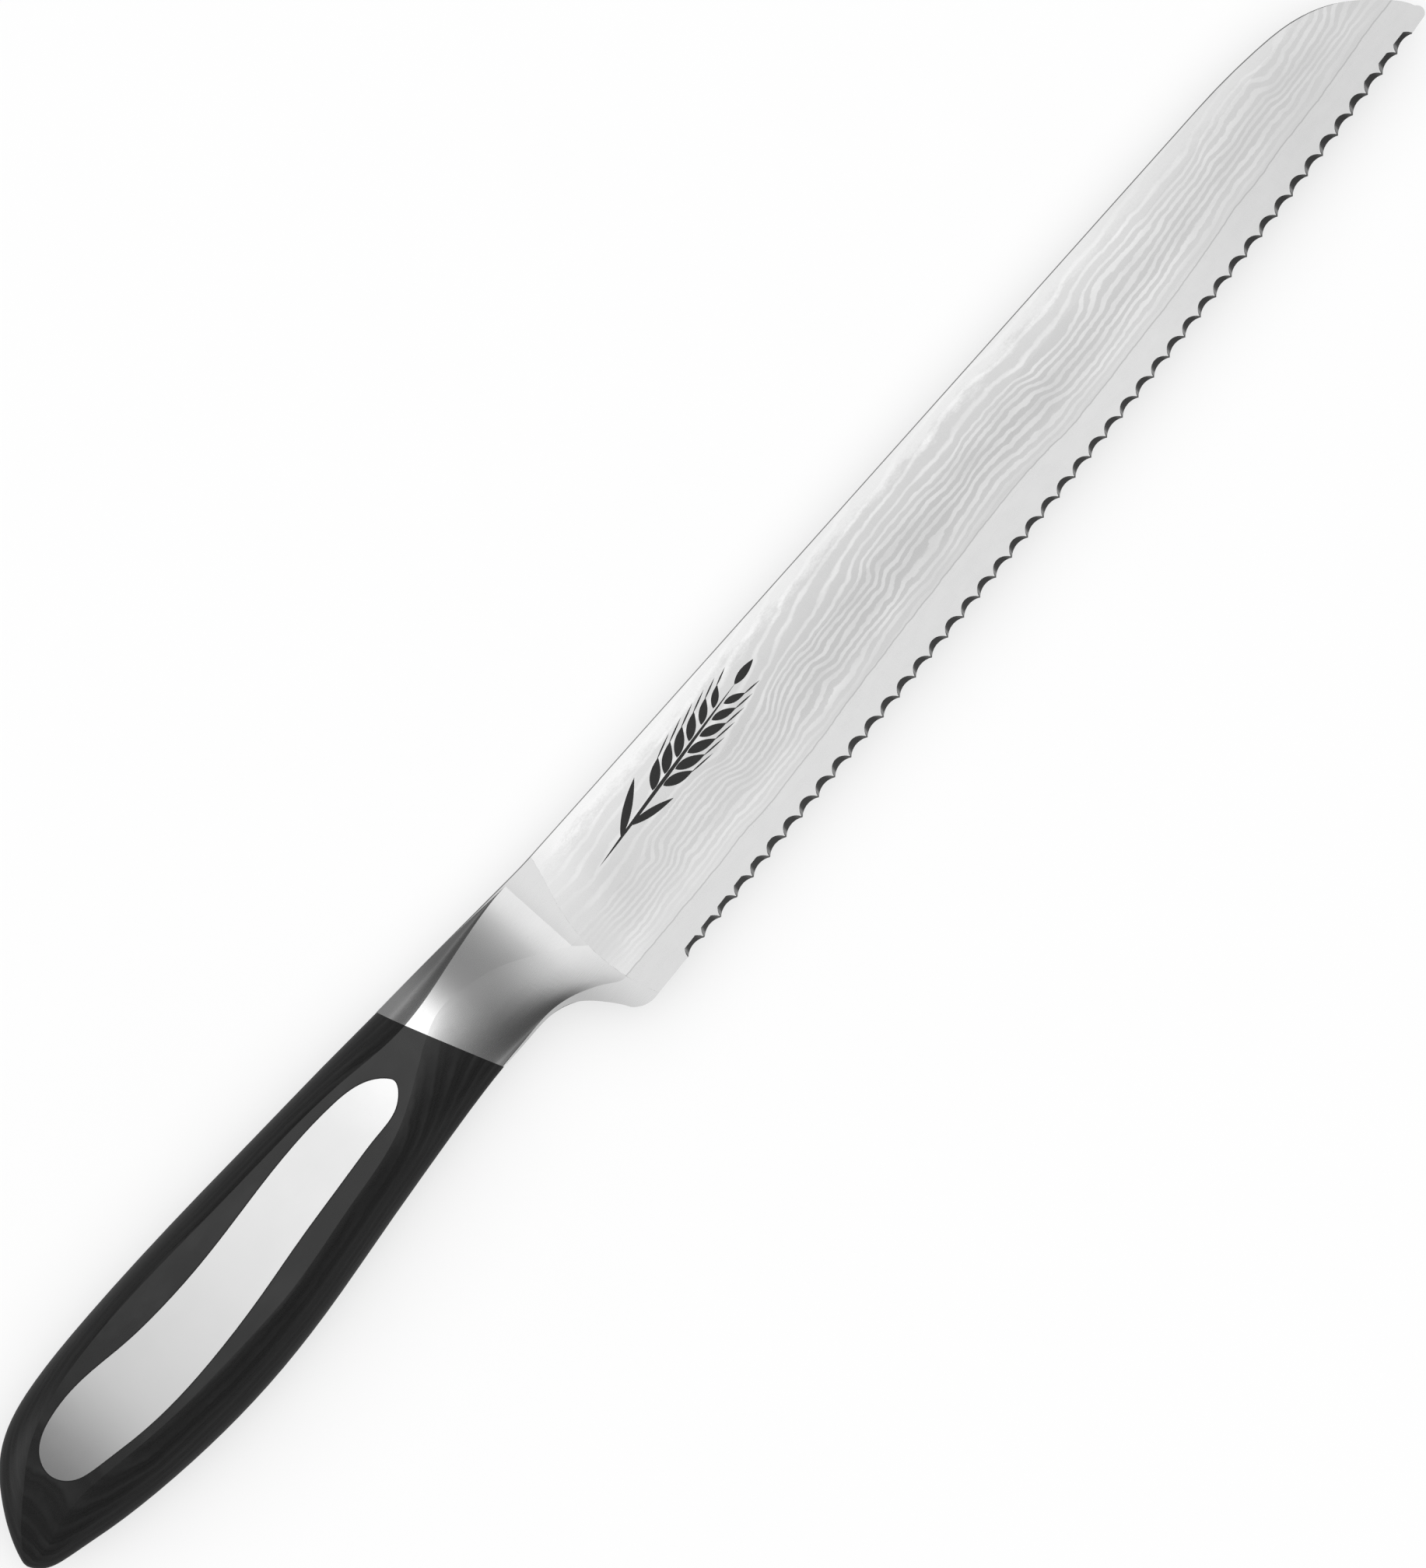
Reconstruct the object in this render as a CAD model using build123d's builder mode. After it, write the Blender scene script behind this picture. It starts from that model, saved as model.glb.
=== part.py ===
from build123d import *
import os

os.makedirs("parts", exist_ok=True)

# Bread knife lying on its left side.  +X runs along the spine to the tip, +Y from the
# edge to the spine, +Z out of the right-hand flat.  The middle plane halves the knife's
# thickness, and side outlines are drawn on it from the centre of the handle joint.

# ---------------------------------------------------------------- driving dimensions (mm)
butt_x = -111.5             # rear end of the handle
tip_x = 237.4               # foremost point of the blade
heel_y = -22.0              # lowest point of the heel
back_y = 13.25              # highest point of the handle's back
grip_half = 8.6             # half of the handle's greatest thickness
joint_lean = 18.5           # handle joint, in degrees from square to the spine

blade_half = 1.0            # half of the blade's stock thickness
core_half = 0.49            # half of the hard core's thickness
edge_half = 0.21            # half of the thickness at the teeth
spine_y = 9.24              # straight back of the blade
bevel_height = 18.0         # width of the flat bevel ground up from the edge
spine_easing = 0.18         # chamfer that breaks the spine's corners

tooth_count = 46
tooth_pitch = 4.305         # spacing of the scallops at the heel
pitch_easing = 0.0013       # loss of that spacing, which grows with the square of the count
first_scallop_x = 39.9
scallop_depth = 0.84        # depth of a scallop on the left flat
scallop_rise = 0.80         # how much higher it is ground on the right flat
tooth_land = 0.30           # bevel left above a tooth's point on the right flat

tang_rear, tang_front = -92.0, 9.0
tang_height = 9.0
tang_half = 1.5
tang_y = -1.5               # tang's axis, below the joint's centre
glue_gap = 0.4              # adhesive all round the tang

inlay_floor = 5.2           # height of the inlay's flat back above the middle plane
inlay_seam = 0.2            # adhesive bed and seam round the inlay

back_fall = 0.07            # drop of the upper flanks beside the land, as a share of the half
belly_fall = 0.05           # the same for the lower flanks
flank_lead = 0.35           # where that drop is taken, as a share of the flank's width
flank_foot = 0.6            # height at which a flank turns upright, as a share of the half

reach = 15.0                # cutting blocks go this far past the middle plane
cut_length = 350.0          # and this far along the knife
spine_run = 20.0            # shorter edges of the spine are left unchamfered
outline_stations = 48       # points that carry the grown outline of the inlay

middle = Plane(origin=(-(butt_x + tip_x) / 2, -(heel_y + back_y) / 2, grip_half))
joint = Plane(origin=middle.origin, z_dir=Vector(1, 0, 0).rotate(Axis.Z, joint_lean))

# ---------------------------------------------------------------- guide lines
with BuildLine():
    tooth_line = Spline((37.4, -21.62), (88, -19.4), (139, -16.7), (190, -13.2), (233.3, -9.08))
with BuildLine():
    weld_line = Spline((33.2, 12), (31.8, 6), (29.6, 0), (28.2, -7), (28.3, -14.6), (31, -24))

edge_chord = tooth_line @ 1 - tooth_line @ 0
grind_slope = (blade_half - edge_half) / bevel_height
# Square to the edge at mid-belly: local x runs up the flat, local y out of it.
grind = Plane(
    origin=middle.from_local_coords(tooth_line @ 0.5),
    x_dir=edge_chord.rotate(Axis.Z, 90),
    z_dir=edge_chord,
)

# ---------------------------------------------------------------- handle and bolster mass
# Sections square to the spine: place along X, lowest and highest point of the side
# outline, lower and upper border of the flat land, and half the thickness at the land.
body_sections = [
    (butt_x, -7.1, -6.1, -6.7, -6.5, 0.45),
    (-110.9, -8.3, -4.4, -6.9, -5.9, 1.5),
    (-109.3, -9.85, -1.2, -7.4, -4.2, 2.8),
    (-106.5, -11.0, 2.9, -7.4, -1.6, 4.15),
    (-102.5, -12.0, 7.2, -6.6, 1.4, 5.5),
    (-97, -13.35, 10.5, -6.0, 5.2, 6.65),
    (-88, -15.0, 12.5, -7.0, 8.4, 7.8),
    (-76, -16.4, 13.2, -8.6, 9.8, 8.4),
    (-62, -16.97, back_y, -9.3, 9.9, grip_half),
    (-46, -16.1, 12.85, -9.2, 9.2, 8.54),
    (-30, -14.2, 12.2, -7.2, 8.6, 8.28),
    (-15, -12.5, 11.6, -4.6, 7.4, 7.9),
    (-4, -11.4, 11.0, 0.6, 6.0, 7.15),
    (4, -10.9, 10.65, 3.4, 6.4, 6.15),
    (10, -10.8, 10.3, 2.6, 7.3, 4.6),
    (16, -11.2, 10.0, 0.6, 8.2, 2.8),
    (21, -13.6, 9.7, -2.4, 8.8, 1.6),
    (25, -17.2, 9.4, -5.0, 9.0, 1.08),
    (29, -19.0, 9.0, -8.0, 8.8, 0.88),
]


def body_section(x, bottom, top, land_bottom, land_top, half):
    """Closed section with a flat land on each side and rounded flanks."""
    across = Plane(origin=middle.from_local_coords((x, 0, 0)), x_dir=(0, 1, 0), z_dir=(1, 0, 0))
    with BuildSketch(across) as section:
        with BuildLine():
            back_lead = land_top + flank_lead * (top - land_top)
            belly_lead = land_bottom + flank_lead * (bottom - land_bottom)
            foot = flank_foot * half
            Bezier((top, 0), (top, foot), (back_lead, (1 - back_fall) * half), (land_top, half))
            Line((land_top, half), (land_bottom, half))
            Bezier(
                (land_bottom, half), (belly_lead, (1 - belly_fall) * half), (bottom, foot), (bottom, 0)
            )
            mirror(about=Plane.XZ)
        make_face()
    return section.sketch


with BuildPart() as body:
    loft(sections=[body_section(*numbers) for numbers in body_sections])

# ---------------------------------------------------------------- blade blank
with BuildPart() as blank:
    with BuildSketch(middle):
        with BuildLine():
            shoulder = Spline(
                (-6, 11.15), (4, 10.7), (16, 10.05), (25, 9.55), (32.8, spine_y),
                tangents=[(1, -0.05), (1, 0)],
            )
            back = Line(shoulder @ 1, (200, spine_y))
            nose = Spline(
                back @ 1, (213.5, 8.5), (221, 7.2), (228.5, 3.6), (234.4, -2.2), (236.9, -6.4),
                tangents=[(1, 0), (0.3, -1)],
            )
            point = ThreePointArc(nose @ 1, (tip_x, -7.9), (236.6, -8.7))
            toe = Line(point @ 1, tooth_line @ 1)
            add(tooth_line)
            heel_edge = Line(tooth_line @ 0, (29.2, heel_y))
            heel = ThreePointArc(heel_edge @ 1, (26.9, -21.5), (25.2, -20.1))
            choil = Spline(
                heel @ 1, (23.2, -16.6), (19.6, -12.6), (16.2, -11.2),
                (10, -10.9), (4, -10.95), (-2, -11.3),
                tangents=[(-0.4, 1), (-1, -0.1)],
            )
            Line(choil @ 1, shoulder @ 0)
        make_face()
    extrude(amount=blade_half, both=True)
    spine_corners = [
        edge for edge in blank.edges().group_by(Axis.Z)[0] + blank.edges().group_by(Axis.Z)[-1]
        if edge.center().Y > middle.origin.Y and edge.length > spine_run
    ]
    chamfer(spine_corners, spine_easing)
    with BuildSketch(grind):
        with BuildLine():
            Polyline(
                (-reach, edge_half - reach * grind_slope), (bevel_height, blade_half),
                (bevel_height, reach), (-reach, reach), close=True,
            )
        make_face()
        mirror(about=Plane.XZ)
    extrude(amount=cut_length, both=True, mode=Mode.SUBTRACT)

with BuildPart() as ahead_of_weld:
    with BuildSketch(middle.offset(-reach)):
        with BuildLine():
            add(weld_line)
            Polyline(weld_line @ 1, (tip_x + reach, -24), (tip_x + reach, 12), weld_line @ 0)
        make_face()
    extrude(amount=2 * reach)

with BuildPart() as blade:
    add(blank.part)
    add(ahead_of_weld.part, mode=Mode.INTERSECT)


# ---------------------------------------------------------------- scallops
upper_depth = scallop_depth + scallop_rise - tooth_land


def arc_radius(depth):
    """Radius of the arc that spans one pitch with the given depth."""
    return (tooth_pitch ** 2 / 4 + depth ** 2) / (2 * depth)


# The grinding wheel leaves a slanted cone: wide on the left flat, tighter and further into
# the blade on the right flat.  Local x runs along the edge, y into the blade.
lower_radius = arc_radius(scallop_depth)
upper_radius = arc_radius(upper_depth)
lower_centre = scallop_depth - lower_radius
upper_centre = scallop_depth + scallop_rise - upper_radius
overrun = 0.3               # the cone goes on past both flats by this share of its length
with BuildPart() as wheel:
    for share in (-overrun, 1 + overrun):
        with BuildSketch(Plane.XY.offset(edge_half * (2 * share - 1))):
            with Locations((0, lower_centre + share * (upper_centre - lower_centre))):
                Circle(lower_radius + share * (upper_radius - lower_radius))
    loft()
scallops = []
for number in range(tooth_count):
    along = first_scallop_x + tooth_pitch * number - pitch_easing * number ** 2
    share = (along - (tooth_line @ 0).X) / edge_chord.X
    scallops.append(
        Plane(origin=middle.from_local_coords(tooth_line @ share), x_dir=tooth_line % share)
    )

with BuildPart() as blade_core:
    add(blade.part)
    split(bisect_by=middle.offset(core_half), keep=Keep.BOTTOM)
    split(bisect_by=middle.offset(-core_half), keep=Keep.TOP)
    with Locations(scallops):
        add(wheel.part, mode=Mode.SUBTRACT)

with BuildPart() as blade_cladding_right:
    add(blade.part)
    split(bisect_by=middle.offset(core_half), keep=Keep.TOP)

with BuildPart() as blade_cladding_left:
    mirror(blade_cladding_right.part, about=middle)

# ---------------------------------------------------------------- tang
with BuildPart() as tang:
    with BuildSketch(middle):
        with Locations(((tang_rear + tang_front) / 2, tang_y)):
            RectangleRounded(tang_front - tang_rear, tang_height, tang_height / 4)
    extrude(amount=tang_half, both=True)

with BuildPart() as tang_slot:
    with BuildSketch(middle):
        with Locations(((tang_rear + tang_front) / 2, tang_y)):
            RectangleRounded(
                tang_front - tang_rear + 2 * glue_gap, tang_height + 2 * glue_gap,
                tang_height / 4 + glue_gap,
            )
    extrude(amount=tang_half + glue_gap, both=True)
    split(bisect_by=joint, keep=Keep.BOTTOM)

with BuildPart() as tang_epoxy:
    add(tang_slot.part)
    add(tang.part, mode=Mode.SUBTRACT)

# ---------------------------------------------------------------- bolster
with BuildPart() as bolster:
    add(body.part)
    add(blank.part)
    add(ahead_of_weld.part, mode=Mode.SUBTRACT)
    split(bisect_by=joint, keep=Keep.TOP)
    add(tang.part, mode=Mode.SUBTRACT)

# ---------------------------------------------------------------- inlay
inlay_points = [
    (-10.2, 1.8), (-14.2, 5.0), (-19.5, 6.1), (-27, 6.45), (-37, 6.1), (-47, 5.3), (-57, 4.8),
    (-65, 4.9), (-72.5, 5.5), (-79.5, 6.55), (-85, 6.9), (-90.5, 6.3), (-95, 4.4), (-97.1, 0.6),
    (-95.8, -2.6), (-90, -4.9), (-82, -6.35), (-72, -7.15), (-62, -6.95), (-52, -6.15),
    (-40, -4.7), (-28, -3.55), (-18, -2.75), (-12.4, -1.6),
]


def inlay_outline(growth):
    """Wavy outline of the inlay, grown all round."""
    stations = [number / outline_stations for number in range(outline_stations)]
    with BuildSketch(middle.offset(inlay_floor - growth)) as outline:
        with BuildLine():
            wave = Spline(*inlay_points, periodic=True, mode=Mode.PRIVATE)
            Spline(
                *[wave @ share + (wave % share).rotate(Axis.Z, -90) * growth for share in stations],
                periodic=True,
            )
        make_face()
    return outline.sketch


with BuildPart() as inlay_right:
    extrude(inlay_outline(0), amount=reach)
    add(body.part, mode=Mode.INTERSECT)

with BuildPart() as inlay_pocket:
    extrude(inlay_outline(inlay_seam), amount=reach)
    add(body.part, mode=Mode.INTERSECT)

with BuildPart() as inlay_bond_right:
    add(inlay_pocket.part)
    add(inlay_right.part, mode=Mode.SUBTRACT)

# ---------------------------------------------------------------- handle
with BuildPart() as handle_scale_right:
    add(body.part)
    split(bisect_by=joint, keep=Keep.BOTTOM)
    split(bisect_by=middle, keep=Keep.TOP)
    add(inlay_pocket.part, mode=Mode.SUBTRACT)
    add(tang_slot.part, mode=Mode.SUBTRACT)

with BuildPart() as handle_scale_left:
    mirror(handle_scale_right.part, about=middle)
with BuildPart() as inlay_left:
    mirror(inlay_right.part, about=middle)
with BuildPart() as inlay_bond_left:
    mirror(inlay_bond_right.part, about=middle)

# ---------------------------------------------------------------- export
blade_core.part.label = "blade_core"
blade_cladding_right.part.label = "blade_cladding_right"
blade_cladding_left.part.label = "blade_cladding_left"
bolster.part.label = "bolster"
tang.part.label = "tang"
tang_epoxy.part.label = "tang_epoxy"
handle_scale_right.part.label = "handle_scale_right"
handle_scale_left.part.label = "handle_scale_left"
inlay_right.part.label = "inlay_right"
inlay_left.part.label = "inlay_left"
inlay_bond_right.part.label = "inlay_bond_right"
inlay_bond_left.part.label = "inlay_bond_left"

export_step(blade_core.part, "parts/blade_core.step")
export_step(blade_cladding_right.part, "parts/blade_cladding_right.step")
export_step(blade_cladding_left.part, "parts/blade_cladding_left.step")
export_step(bolster.part, "parts/bolster.step")
export_step(tang.part, "parts/tang.step")
export_step(tang_epoxy.part, "parts/tang_epoxy.step")
export_step(handle_scale_right.part, "parts/handle_scale_right.step")
export_step(handle_scale_left.part, "parts/handle_scale_left.step")
export_step(inlay_right.part, "parts/inlay_right.step")
export_step(inlay_left.part, "parts/inlay_left.step")
export_step(inlay_bond_right.part, "parts/inlay_bond_right.step")
export_step(inlay_bond_left.part, "parts/inlay_bond_left.step")
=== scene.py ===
from math import atan2, cos, hypot, pi, radians, sin

import bpy
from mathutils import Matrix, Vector
from mathutils.bvhtree import BVHTree


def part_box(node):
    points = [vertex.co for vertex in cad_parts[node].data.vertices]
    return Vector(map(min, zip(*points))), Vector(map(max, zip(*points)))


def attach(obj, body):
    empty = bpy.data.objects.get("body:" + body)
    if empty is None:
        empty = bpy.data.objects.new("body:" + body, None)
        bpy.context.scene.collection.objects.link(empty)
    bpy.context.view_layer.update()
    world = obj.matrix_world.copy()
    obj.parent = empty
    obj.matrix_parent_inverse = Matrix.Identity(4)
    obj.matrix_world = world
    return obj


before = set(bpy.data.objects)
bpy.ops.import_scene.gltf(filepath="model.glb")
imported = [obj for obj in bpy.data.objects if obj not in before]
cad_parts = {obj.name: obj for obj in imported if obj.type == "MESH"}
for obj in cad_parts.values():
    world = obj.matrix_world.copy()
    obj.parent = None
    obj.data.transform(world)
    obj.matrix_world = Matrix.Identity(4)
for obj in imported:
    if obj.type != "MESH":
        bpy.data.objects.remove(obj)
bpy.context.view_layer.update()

MM = 0.001

# ---------------------------------------------------------------- the knife's own axes
# Side dimensions are in mm from the centre of the handle joint, as on the CAD drawing.
core_low, core_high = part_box("blade_core")
TIP_X = 237.4
SPINE_Y = 9.24
joint_x = core_high.x - TIP_X * MM
joint_y = core_high.y - SPINE_Y * MM
mid_z = (core_low.z + core_high.z) / 2


def at(x, y, z=0.0):
    """Row-frame point, in metres, of a drawing point in mm."""
    return Vector((joint_x + x * MM, joint_y + y * MM, mid_z + z * MM))


# ---------------------------------------------------------------- camera
VIEW_CENTRE = (61.97, -5.50)        # drawing point at the middle of the picture, mm
VIEW_HEIGHT = 261.6                 # height of the picture at the blade, mm
KNIFE_ANGLE = 48.25                 # spine above the picture's horizontal, degrees
LENS = 250.0                        # long lens, so that the view is nearly parallel
SENSOR = 36.0

camera_data = bpy.data.cameras.new("camera")
camera_data.lens = LENS
camera_data.sensor_width = SENSOR
camera = bpy.data.objects.new("camera", camera_data)
bpy.context.scene.collection.objects.link(camera)
camera.location = at(*VIEW_CENTRE, VIEW_HEIGHT * LENS / SENSOR)
camera.rotation_euler = (0, 0, radians(-KNIFE_ANGLE))
bpy.context.scene.camera = camera


# ---------------------------------------------------------------- shader helpers
class Graph:
    """Builds a node tree from short calls. Numbers are accepted wherever a socket is."""

    def __init__(self, tree):
        self.tree = tree
        self.tree.nodes.clear()

    def node(self, kind, **settings):
        made = self.tree.nodes.new(kind)
        for name, value in settings.items():
            setattr(made, name, value)
        return made

    def feed(self, socket, value):
        if isinstance(value, bpy.types.NodeSocket):
            self.tree.links.new(value, socket)
        elif value is not None:
            socket.default_value = value

    def math(self, operation, first, second=None, third=None):
        made = self.node("ShaderNodeMath", operation=operation)
        for socket, value in zip(made.inputs, (first, second, third)):
            self.feed(socket, value)
        return made.outputs[0]

    def add(self, *terms):
        total = terms[0]
        for term in terms[1:]:
            total = self.math("ADD", total, term)
        return total

    def times(self, *factors):
        product = factors[0]
        for factor in factors[1:]:
            product = self.math("MULTIPLY", product, factor)
        return product

    def ramp(self, value, low, high, to_low=0.0, to_high=1.0):
        """Smooth step of value from low to high, given as to_low to to_high."""
        made = self.node("ShaderNodeMapRange", interpolation_type="SMOOTHSTEP")
        for name, number in (
            ("Value", value), ("From Min", low), ("From Max", high),
            ("To Min", to_low), ("To Max", to_high),
        ):
            self.feed(made.inputs[name], number)
        return made.outputs["Result"]

    def vector(self, x, y, z=0.0):
        made = self.node("ShaderNodeCombineXYZ")
        for socket, value in zip(made.inputs, (x, y, z)):
            self.feed(socket, value)
        return made.outputs[0]

    def place(self, x, y, z, length, width, depth):
        """Place in a noise whose features have that length, width and depth."""
        return self.vector(
            self.times(x, 1 / length), self.times(y, 1 / width), self.times(z, 1 / depth)
        )

    def noise(self, place, detail=2.0, roughness=0.5, scale=1.0):
        """Noise about zero, from -1 to 1."""
        made = self.node("ShaderNodeTexNoise")
        self.feed(made.inputs["Vector"], place)
        self.feed(made.inputs["Scale"], scale)
        self.feed(made.inputs["Detail"], detail)
        self.feed(made.inputs["Roughness"], roughness)
        return self.math("MULTIPLY_ADD", made.outputs["Fac"], 2.0, -1.0)

    def grey(self, value):
        """Neutral colour of that lightness."""
        made = self.node("ShaderNodeCombineColor")
        for socket in made.inputs:
            self.feed(socket, value)
        return made.outputs[0]

    def drawing_place(self):
        """x, y, z of the shaded point on the drawing, in mm."""
        coordinates = self.node("ShaderNodeTexCoord").outputs["Object"]
        split = self.node("ShaderNodeSeparateXYZ")
        self.feed(split.inputs[0], coordinates)
        return [
            self.math("MULTIPLY_ADD", out, 1 / MM, -origin / MM)
            for out, origin in zip(split.outputs, (joint_x, joint_y, mid_z))
        ]

    def bump(self, height, strength, depth_mm):
        made = self.node("ShaderNodeBump")
        self.feed(made.inputs["Height"], height)
        made.inputs["Strength"].default_value = strength
        made.inputs["Distance"].default_value = depth_mm * MM
        return made.outputs["Normal"]

    def surface(self, colour, roughness, metallic, normal=None, **constants):
        shader = self.node("ShaderNodeBsdfPrincipled")
        self.feed(shader.inputs["Base Color"], colour)
        self.feed(shader.inputs["Roughness"], roughness)
        shader.inputs["Metallic"].default_value = metallic
        if normal is not None:
            self.feed(shader.inputs["Normal"], normal)
        for name, value in constants.items():
            shader.inputs[name.replace("_", " ")].default_value = value
        out = self.node("ShaderNodeOutputMaterial")
        self.feed(out.inputs["Surface"], shader.outputs[0])


def new_material(name):
    material = bpy.data.materials.new(name)
    material.use_nodes = True
    return material, Graph(material.node_tree)


# ---------------------------------------------------------------- materials
# Lengths in the materials are in mm, and x, y, z are places on the drawing.
# Tooth points follow a slightly bowed line, y = TOOTH_Y + TOOTH_SLOPE x + TOOTH_BOW x^2.
TOOTH_Y, TOOTH_SLOPE, TOOTH_BOW = -22.74, 0.0245, 0.000146
HEEL_LAYERS, TIP_LAYERS = 1 / 1.12, 1 / 1.42    # folded layers per mm where the bevel cuts them
FLAT_LAYERS = 1 / 2.3       # and on the flat above it
FINE_LAYERS = 12.0          # height of the finely layered zone above the core
FOLDED_DARK = 0.535         # lightness of the darker folded layers
FOLDED_CONTRAST = 0.095     # what the lighter ones add
PLAIN_CORE = 0.700          # lightness of the core
SCALLOP_SHADE_SHARE = 0.50        # share of the flat's lightness that the scallops keep under their painted shade
BEND = 0.8                  # how far a step shifts the layers
WELD_LEAN = -0.16           # slant of the joint with the bolster, from square to the spine
EDGE_LINE = 0.19            # half width of the dark line that borders the core

# Border of the core above the teeth: its height at the heel, then how much it changes, and
# from where to where along the blade.
CORE_AT_HEEL, CORE_MIDWAY = 5.85, 6.9
CORE_CHANGES = ((132.0, 150.0, -1.4), (176.0, 192.0, 0.6))
# How it wanders: length of the wave, detail, seed and height.
CORE_WAVES = ((13, 1.0, 3.0, 0.45), (2.6, 2.0, 5.0, 0.22), (0.5, 1.0, 7.0, 0.05))
# How the layers wander: length and width of the wave, detail, roughness, seed and height.
LAYER_WAVES = (
    (30, 9, 1.0, 0.5, 11.0, 2.3), (8, 4.0, 2.0, 0.5, 13.0, 0.75), (1.5, 1.0, 3.0, 0.6, 17.0, 0.26),
)


def blade_steel():
    """Three-ply blade: plain core along the edge, folded layers above a wavy line."""
    material, g = new_material("blade_steel")
    x, y, z = g.drawing_place()
    tooth_y = g.add(g.times(g.add(g.times(x, TOOTH_BOW), TOOTH_SLOPE), x), TOOTH_Y)
    height = g.math("SUBTRACT", y, tooth_y)
    far = g.times(g.math("SIGN", z), 40.0)

    def field(length, width, detail=2.0, roughness=0.5, shift=0.0):
        """Noise with features of that length along the blade and width across it, mm."""
        place = g.vector(g.times(x, 1 / length), g.times(y, 1 / width), g.add(far, shift))
        return g.noise(place, detail, roughness)

    # The border of the plain core wanders as the forging left it.
    core_height = g.add(
        g.ramp(x, 68.0, 108.0, CORE_AT_HEEL, CORE_MIDWAY),
        *[g.ramp(x, start, end, 0.0, change) for start, end, change in CORE_CHANGES],
        *[
            g.times(field(length, 90, detail, shift=seed), wander)
            for length, detail, seed, wander in CORE_WAVES
        ],
    )
    above_core = g.math("SUBTRACT", height, core_height)

    # Layers are cut closely by the ground bevel and broadly by the flat above it.  They run
    # together along the blade, with a step here and there and a ragged edge throughout.
    step = g.ramp(field(21, 60, 0.0, shift=37.0), -0.10, 0.10, -BEND, BEND)
    warped = g.add(
        above_core,
        g.times(step, g.ramp(above_core, 1.0, 7.0), g.ramp(above_core, 17.0, 10.0)),
        *[
            g.times(field(length, width, detail, roughness, seed), wander)
            for length, width, detail, roughness, seed, wander in LAYER_WAVES
        ],
    )
    layers_per_mm = g.ramp(x, 55.0, 120.0, HEEL_LAYERS, TIP_LAYERS)
    layer = g.add(
        g.times(g.math("MINIMUM", warped, FINE_LAYERS), layers_per_mm),
        g.times(g.math("MAXIMUM", g.add(warped, -FINE_LAYERS), 0.0), FLAT_LAYERS),
    )
    wave = g.math("SINE", g.times(layer, 2 * pi))
    on_flat = g.ramp(warped, FINE_LAYERS - 1.5, FINE_LAYERS + 1.0)
    threshold = g.times(on_flat, 0.55)
    light_line = g.ramp(wave, g.add(threshold, -0.35), g.add(threshold, 0.55))
    # Place along the blade, squared to its joint with the bolster and mottled a little.
    from_bolster = g.add(
        x, g.times(y, WELD_LEAN), g.times(field(2.2, 1.4, 3.0, shift=41.0), 1.6)
    )
    strength = g.times(
        g.ramp(from_bolster, 31.5, 37.5, 0.25, 1.0),
        g.ramp(above_core, 0.2, 3.2, 0.25, 1.0),
        g.ramp(field(12, 2.8, 2.0, shift=19.0), -0.6, 0.6, 0.5, 1.25),
        g.ramp(x, 175.0, 215.0, 1.0, 0.6),
        g.ramp(y, 8.0, 4.5, 0.25, 1.0),
        g.ramp(x, 95.0, 40.0, 1.0, 0.58),
    )
    cloud = field(5, 2.0, 5.0, 0.65, shift=23.0)
    fleck = field(0.5, 0.35, 2.0, shift=29.0)
    # Painted highlight along the spine, its lower edge clouded, fading towards the tip and near
    # the bolster.
    spine_highlight = g.ramp(g.add(y, g.times(cloud, 3.0), g.times(fleck, 0.8)), 4.8, 7.8)
    spine_highlight_fade = g.times(
        g.ramp(x, 130.0, 185.0, 1.0, 0.45), g.ramp(from_bolster, 30.5, 39.0, 0.35, 1.0)
    )
    folded = g.add(
        FOLDED_DARK,
        g.times(strength, light_line, FOLDED_CONTRAST),
        g.ramp(above_core, 6.5, 0.5, 0.0, 0.085),
        g.ramp(x, 105.0, 40.0, 0.0, 0.085),
        g.ramp(x, 140.0, 175.0, 0.0, 0.045),
        # painted highlight: lighter towards the spine
        g.ramp(y, -3.5, 5.5, 0.0, 0.085),
        g.ramp(from_bolster, 40.0, 33.0, 0.0, 0.05),
        g.times(spine_highlight, spine_highlight_fade, 0.165),
        g.times(cloud, 0.022),
        g.times(fleck, 0.012),
    )
    plain = g.add(PLAIN_CORE, g.times(cloud, 0.008), g.times(fleck, 0.005))
    is_folded = g.ramp(above_core, -0.03, 0.03)
    lightness = g.add(plain, g.times(is_folded, g.math("SUBTRACT", folded, plain)))
    border = g.ramp(g.math("ABSOLUTE", above_core), 0.03, EDGE_LINE, 0.76, 1.0)
    # The dark border line edges the core; painted light makes the blade a little lighter towards
    # the heel and darker towards the tip.
    lightness = g.times(
        lightness, border, g.ramp(x, 40.0, 140.0, 1.08, 1.0), g.ramp(x, 150.0, 215.0, 1.0, 0.86)
    )
    # Painted shade: the colour is darkened on the ground faces of the scallops, which lean away
    # from the flat.
    facing = g.node("ShaderNodeSeparateXYZ")
    g.feed(facing.inputs[0], g.node("ShaderNodeTexCoord").outputs["Normal"])
    scallop_shade = g.times(
        g.ramp(g.math("ABSOLUTE", facing.outputs["Z"]), 0.985, 0.95), g.ramp(height, 2.6, 2.0)
    )
    lightness = g.times(lightness, g.ramp(scallop_shade, 0.0, 1.0, 1.0, SCALLOP_SHADE_SHARE))

    brush = field(0.09, 6.0, 2.0, shift=31.0)
    relief = g.add(
        g.times(is_folded, strength, light_line, 0.4), g.times(border, 0.8), g.times(brush, 0.02)
    )
    roughness = g.add(
        0.27,
        g.times(is_folded, strength, light_line, -0.03),
        g.times(cloud, 0.03),
        g.times(brush, 0.012),
    )
    g.surface(g.grey(lightness), roughness, 1.0, g.bump(relief, 0.12, 0.006))
    return material


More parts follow.
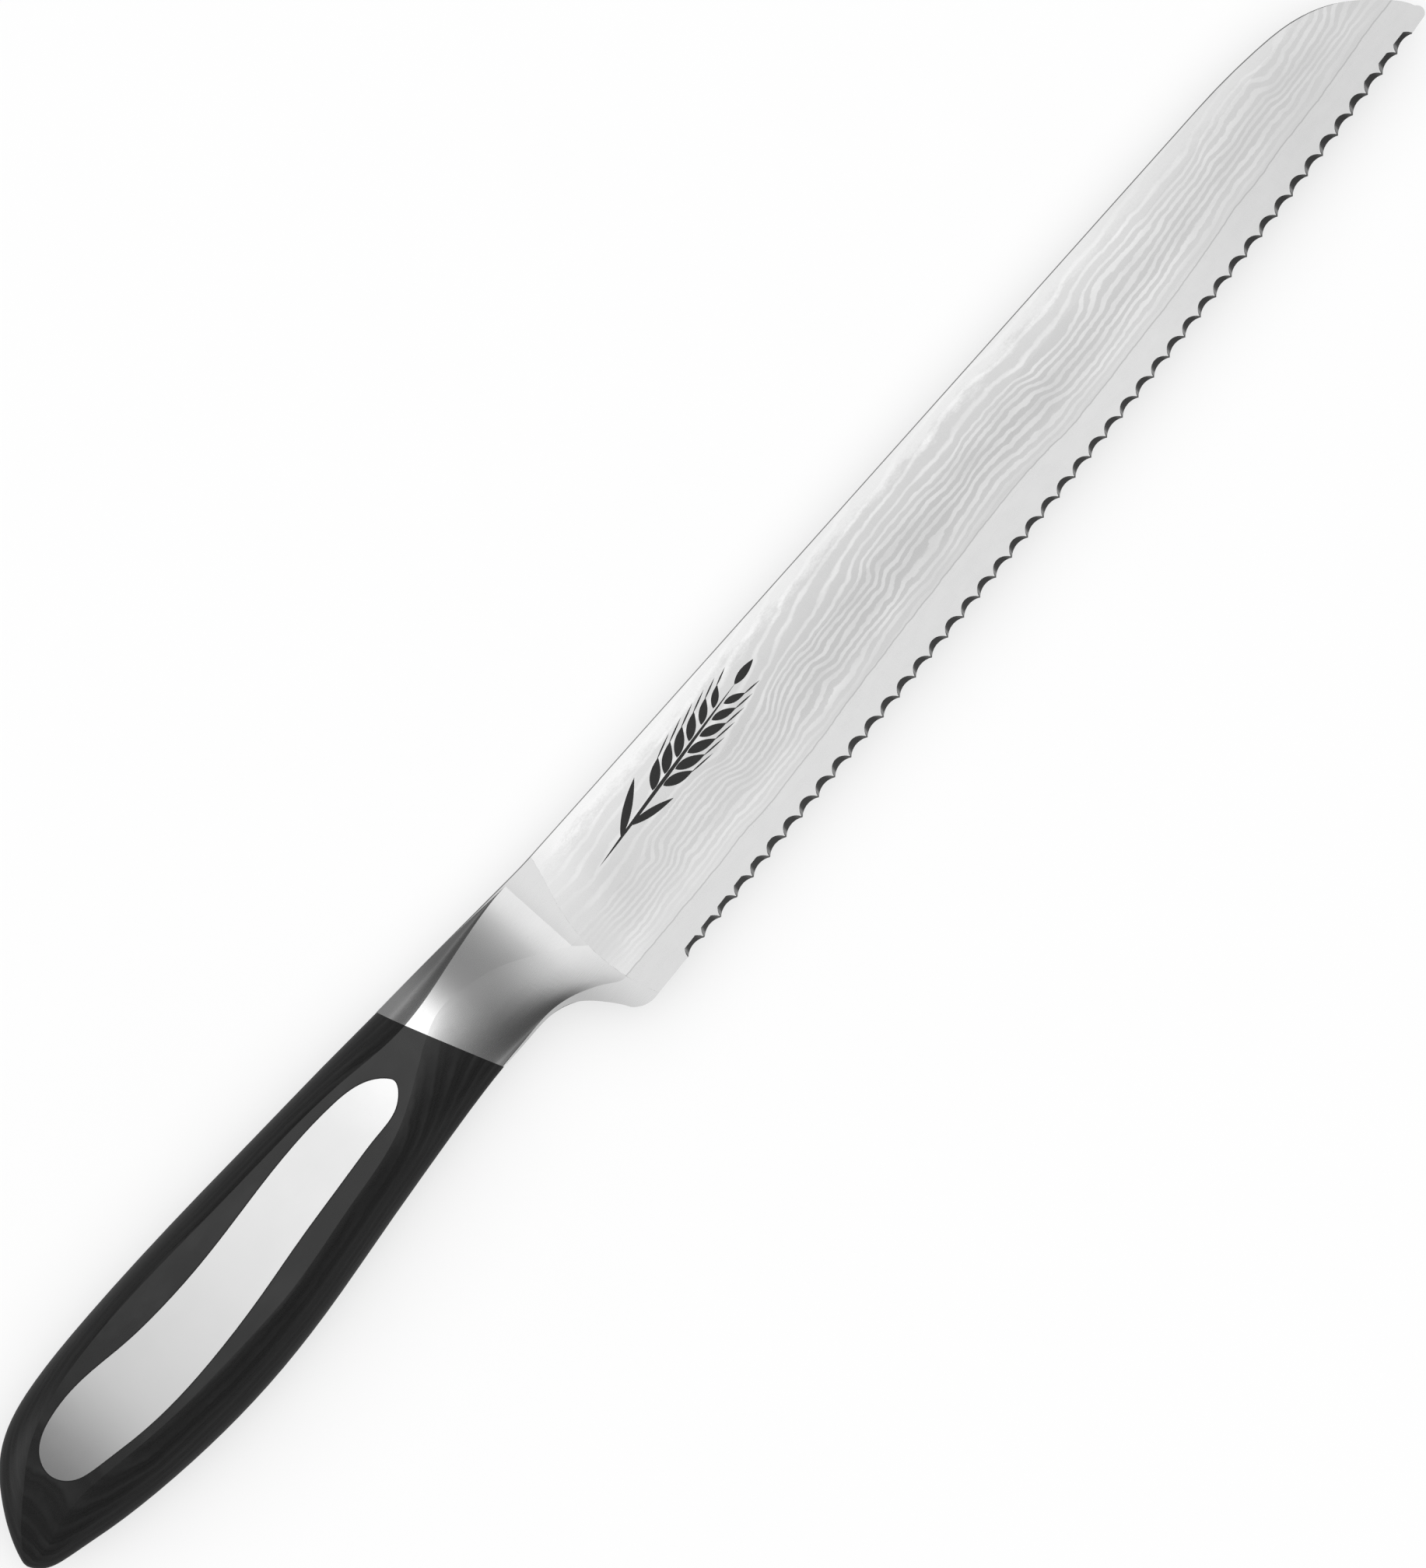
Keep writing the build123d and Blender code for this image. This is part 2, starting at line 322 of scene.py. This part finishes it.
def satin_steel(name, lightness, roughness, bolster=False):
    """Plain steel, finely brushed along the knife; on the bolster, a painted highlight near the
    joint and painted shade in the hollow.
    """
    material, g = new_material(name)
    x, y, z = g.drawing_place()
    grain = g.noise(g.place(x, y, z, 3.0, 0.12, 0.12), detail=2.0)
    cloud = g.noise(g.place(x, y, z, 8, 6, 6), detail=3.0)
    tone = g.add(lightness, g.times(grain, 0.012), g.times(cloud, 0.012))
    if bolster:
        # Painted light on the bolster: lighter near the joint, darker in the hollow, lighter again
        # towards the blade.
        tone = g.times(
            tone, g.add(g.ramp(x, 0.0, 10.0, 1.25, 0.74), g.ramp(x, 20.0, 29.5, 0.0, 0.34))
        )
    rough = g.add(roughness, g.times(cloud, 0.025), g.times(grain, 0.02))
    g.surface(g.grey(tone), rough, 1.0, g.bump(grain, 0.12, 0.004))
    return material


SHEET = 1.05                # thickness of the resin's pressed layers, mm


def layered_resin():
    """Black resin pressed from cloth sheets that lie parallel to the blade."""
    material, g = new_material("layered_resin")
    x, y, z = g.drawing_place()

    def field(length, width, depth, detail=2.0, roughness=0.5):
        return g.noise(g.place(x, y, z, length, width, depth), detail, roughness)

    drift = g.add(g.times(field(22, 9, 9), 0.55), g.times(field(2.2, 1.6, 1.6), 0.14))
    showing = g.ramp(field(11, 4, 3), -0.5, 0.5, 0.25, 1.0)
    sheet = g.math("SINE", g.times(g.add(g.times(z, 1 / SHEET), drift), 2 * pi))
    sheet_line = g.ramp(sheet, -0.1, 0.9)
    thin = g.math("SINE", g.times(g.add(g.times(z, 3.1 / SHEET), g.times(drift, 2.4)), 2 * pi))
    fibre = field(0.8, 0.16, 0.16, 2.0)
    speck = field(0.14, 0.14, 0.14, 1.0)
    cloud = field(9, 5, 5, 4.0)
    tone = g.add(
        0.0092,
        g.times(sheet_line, showing, 0.0062),
        g.times(thin, showing, 0.0016),
        g.times(fibre, 0.0026),
        g.times(speck, 0.0026),
        g.times(cloud, 0.0012),
    )
    rough = g.add(
        0.285, g.times(sheet_line, 0.05), g.times(fibre, 0.03), g.times(cloud, 0.03),
        g.times(speck, 0.03),
    )
    relief = g.add(g.times(fibre, 0.6), g.times(speck, 0.4), g.times(sheet, 0.3))
    g.surface(g.grey(tone), rough, 0.0, g.bump(relief, 0.10, 0.010))
    return material


def black_adhesive():
    material, g = new_material("black_adhesive")
    x, y, z = g.drawing_place()
    mottle = g.noise(g.place(x, y, z, 0.6, 0.6, 0.6), detail=2.0)
    g.surface(g.grey(g.add(0.006, g.times(mottle, 0.002))), g.add(0.5, g.times(mottle, 0.05)), 0.0)
    return material


blade_finish = blade_steel()
bolster_finish = satin_steel("bolster_steel", 0.70, 0.27, bolster=True)
inlay_finish = satin_steel("inlay_metal", 0.80, 0.25)
tang_finish = satin_steel("tang_steel", 0.45, 0.45)
resin_finish = layered_resin()
adhesive_finish = black_adhesive()

finishes = {
    "blade_core": blade_finish,
    "blade_cladding_right": blade_finish,
    "blade_cladding_left": blade_finish,
    "bolster": bolster_finish,
    "tang": tang_finish,
    "tang_epoxy": adhesive_finish,
    "handle_scale_right": resin_finish,
    "handle_scale_left": resin_finish,
    "inlay_right": inlay_finish,
    "inlay_left": inlay_finish,
    "inlay_bond_right": adhesive_finish,
    "inlay_bond_left": adhesive_finish,
}
for node_name, finish in finishes.items():
    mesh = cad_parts[node_name].data
    mesh.materials.clear()
    mesh.materials.append(finish)

# ---------------------------------------------------------------- etched ornament
# A wheat ear stands where such a knife carries its black mark.
EAR_START, EAR_END = (39.0, -0.6), (82.0, 3.4)      # foot of the stalk and top of the ear
KERNEL_PAIRS = 6
KERNEL_LENGTH, KERNEL_WIDTH = 5.6, 1.75
KERNEL_TILT = 27.0          # degrees from the stalk
KERNEL_GAP = 0.45           # from the middle of the stalk to a kernel's foot
TOP_TAPER = 0.28            # how much smaller the topmost kernels are, as a share
BARE_STALK = 0.36           # share of the length below the first kernel
STALK_WIDTH, AWN_WIDTH = 0.62, 0.26
# Leaves of the stalk: foot and length as shares of the ear's length, tilt and width.
STALK_LEAVES = ((0.14, 0.24, 24, 1.5), (0.20, 0.20, -21, 1.3))
ETCH_LIFT = 0.012           # how far the blackened etch stands off the flat, mm
LEAF_LIFT = 0.0005          # how much further each next leaf does
OUTLINE_STEPS = 14
PIT_SIZE, WEAR_SIZE = 0.12, 1.5     # marks in the blackening, mm

ear_heading = atan2(EAR_END[1] - EAR_START[1], EAR_END[0] - EAR_START[0])
ear_length = hypot(EAR_END[0] - EAR_START[0], EAR_END[1] - EAR_START[1])
leaves = []


def leaf(along, across, tilt, length, width):
    """Pointed oval whose foot is at that place beside the stalk, fullest nearer its foot."""
    outline = []
    for side in (1, -1):
        for number in range(OUTLINE_STEPS):
            share = number / OUTLINE_STEPS
            if side < 0:
                share = 1 - share
            reach = share * length
            half = side * width / 2 * sin(pi * share ** 0.85) ** 0.9
            outline.append((
                along + reach * cos(tilt) - half * sin(tilt),
                across + reach * sin(tilt) + half * cos(tilt),
            ))
    leaves.append(outline)


kernels_from = BARE_STALK * ear_length
kernel_step = (ear_length - kernels_from - 1.9 * KERNEL_LENGTH) / (KERNEL_PAIRS - 1)
for number in range(KERNEL_PAIRS):
    taper = 1 - TOP_TAPER * (number / (KERNEL_PAIRS - 1)) ** 2
    length = KERNEL_LENGTH * taper
    for side in (1, -1):
        foot = kernels_from + (number + (0.5 if side < 0 else 0)) * kernel_step
        tilt = side * radians(KERNEL_TILT)
        leaf(foot, side * KERNEL_GAP, tilt, length, KERNEL_WIDTH * taper)
        # The awn grows from near the kernel's point.
        leaf(
            foot + 0.80 * length, side * (KERNEL_GAP + 0.44 * length),
            0.45 * tilt, 0.9 * length, AWN_WIDTH,
        )
top_kernel = 0.95 * KERNEL_LENGTH
leaf(ear_length - top_kernel, 0.0, 0.0, top_kernel, 0.8 * KERNEL_WIDTH)
for foot, length, tilt, width in STALK_LEAVES:
    leaf(foot * ear_length, 0.0, radians(tilt), length * ear_length, width)
leaf(0.0, 0.0, 0.0, ear_length - 0.8 * KERNEL_LENGTH, STALK_WIDTH)

HIGH_ABOVE = 10.0           # leaves are dropped onto the blade from this height, mm
blade_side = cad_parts["blade_cladding_right"].data
skin = BVHTree.FromPolygons(
    [vertex.co for vertex in blade_side.vertices], [face.vertices for face in blade_side.polygons]
)
ornament_points, ornament_faces = [], []
for number, outline in enumerate(leaves):
    first = len(ornament_points)
    for along, across in outline:
        place = at(
            EAR_START[0] + along * cos(ear_heading) - across * sin(ear_heading),
            EAR_START[1] + along * sin(ear_heading) + across * cos(ear_heading),
            HIGH_ABOVE,
        )
        hit = skin.ray_cast(place, Vector((0, 0, -1)))[0]
        # Each leaf lies a hair above the last, so that no two share a plane.
        ornament_points.append(hit + Vector((0, 0, (ETCH_LIFT + LEAF_LIFT * number) * MM)))
    ornament_faces.append(range(first, len(ornament_points)))
ear_mesh = bpy.data.meshes.new("etched_wheat_ear")
ear_mesh.from_pydata(ornament_points, [], ornament_faces)
ear = bpy.data.objects.new("etched_wheat_ear", ear_mesh)
bpy.context.scene.collection.objects.link(ear)

etch, g = new_material("blackened_etch")
x, y, z = g.drawing_place()
pits = g.noise(g.vector(g.times(x, 1 / PIT_SIZE), g.times(y, 1 / PIT_SIZE)), detail=2.0)
worn = g.noise(g.vector(g.times(x, 1 / WEAR_SIZE), g.times(y, 1 / WEAR_SIZE)), detail=3.0)
g.surface(
    g.grey(g.add(0.016, g.times(pits, 0.006), g.times(worn, 0.005))),
    g.add(0.55, g.times(pits, 0.08)), 0.0, g.bump(pits, 0.2, 0.004),
)
ear_mesh.materials.append(etch)
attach(ear, "root")

# ---------------------------------------------------------------- stage and light
# Softboxes: heading and height above the horizon, angle at which each has faded to 1/e,
# all in degrees, and radiance.
SOFTBOXES = (
    (0, 81, 19.5, 1.41),        # overhead, leaning a little towards the tip
    (0, 75.5, 6.0, 0.45),       # its brighter lamp
    (135, 24, 20.0, 0.85),      # low panels, which the flats mirror in the side views
    (-45, 11, 13.0, 0.85),
)
ROOM_LIGHT = 0.12
HORIZON_SPREAD, HORIZON_LIGHT = 9.0, 0.32
BACKDROP_TONE = 0.985       # what the camera sees beyond the floor
FILL_LIGHT, FILL_WIDTH = 2.45, 110
FILL_TILT = (-8, 6)         # degrees about X and Y
FLOOR = 3.0                 # half of the floor's side, m
PAPER_TONE, PAPER_GLOW = 0.34, 0.62
PAPER_IN_GLOSS = 0.22       # share of the floor's light that shows in reflections

floor_mesh = bpy.data.meshes.new("floor")
floor_mesh.from_pydata(
    [(-FLOOR, -FLOOR, 0), (FLOOR, -FLOOR, 0), (FLOOR, FLOOR, 0), (-FLOOR, FLOOR, 0)],
    [], [(0, 1, 2, 3)],
)
floor = bpy.data.objects.new("floor", floor_mesh)
bpy.context.scene.collection.objects.link(floor)
floor_material, g = new_material("floor_paper")
light_path = g.node("ShaderNodeLightPath")
mottle = g.noise(g.node("ShaderNodeTexCoord").outputs["Object"], detail=3.0, scale=40.0)
dimming = g.add(1.0, g.times(light_path.outputs["Is Glossy Ray"], PAPER_IN_GLOSS - 1))
paper = g.times(g.add(PAPER_TONE, g.times(mottle, 0.003)), dimming)
shader = g.node("ShaderNodeBsdfPrincipled")
shader.inputs["Roughness"].default_value = 0.9
shader.inputs["Specular IOR Level"].default_value = 0.0
g.feed(shader.inputs["Base Color"], g.grey(paper))
g.feed(shader.inputs["Emission Color"], g.grey(g.times(dimming, PAPER_GLOW)))
shader.inputs["Emission Strength"].default_value = 1.0
g.feed(g.node("ShaderNodeOutputMaterial").inputs["Surface"], shader.outputs[0])
floor_mesh.materials.append(floor_material)

world = bpy.data.worlds.new("studio")
bpy.context.scene.world = world
world.use_nodes = True
g = Graph(world.node_tree)
direction = g.node("ShaderNodeTexCoord").outputs["Generated"]


def fading(angle, width, light):
    """Light that falls off like a bell with the angle."""
    spread = g.times(angle, 1 / radians(width))
    return g.times(g.math("EXPONENT", g.times(spread, spread, -1.0)), light)


upward = g.node("ShaderNodeSeparateXYZ")
g.feed(upward.inputs[0], direction)
elevation = g.math("ARCSINE", upward.outputs["Z"])
radiance = g.add(ROOM_LIGHT, fading(elevation, HORIZON_SPREAD, HORIZON_LIGHT))
for heading, height, width, light in SOFTBOXES:
    dot = g.node("ShaderNodeVectorMath", operation="DOT_PRODUCT")
    g.feed(dot.inputs[0], direction)
    level = cos(radians(height))
    dot.inputs[1].default_value = (
        level * cos(radians(heading)), level * sin(radians(heading)), sin(radians(height))
    )
    angle = g.math("ARCCOSINE", g.math("MINIMUM", dot.outputs["Value"], 1.0))
    radiance = g.add(radiance, fading(angle, width, light))
seen = g.node("ShaderNodeLightPath").outputs["Is Camera Ray"]
shown = g.add(g.times(seen, g.math("SUBTRACT", BACKDROP_TONE, radiance)), radiance)
background = g.node("ShaderNodeBackground")
g.feed(background.inputs["Color"], g.grey(shown))
out = g.node("ShaderNodeOutputWorld")
g.feed(out.inputs["Surface"], background.outputs[0])

# Wrap-round light on the floor and the resin, from above.
fill_data = bpy.data.lights.new("overhead_fill", "SUN")
fill_data.energy = FILL_LIGHT
fill_data.angle = radians(FILL_WIDTH)
fill = bpy.data.objects.new("overhead_fill", fill_data)
fill.visible_glossy = False
fill.rotation_euler = (radians(FILL_TILT[0]), radians(FILL_TILT[1]), 0)
bpy.context.scene.collection.objects.link(fill)

bpy.context.scene.view_settings.view_transform = "Standard"
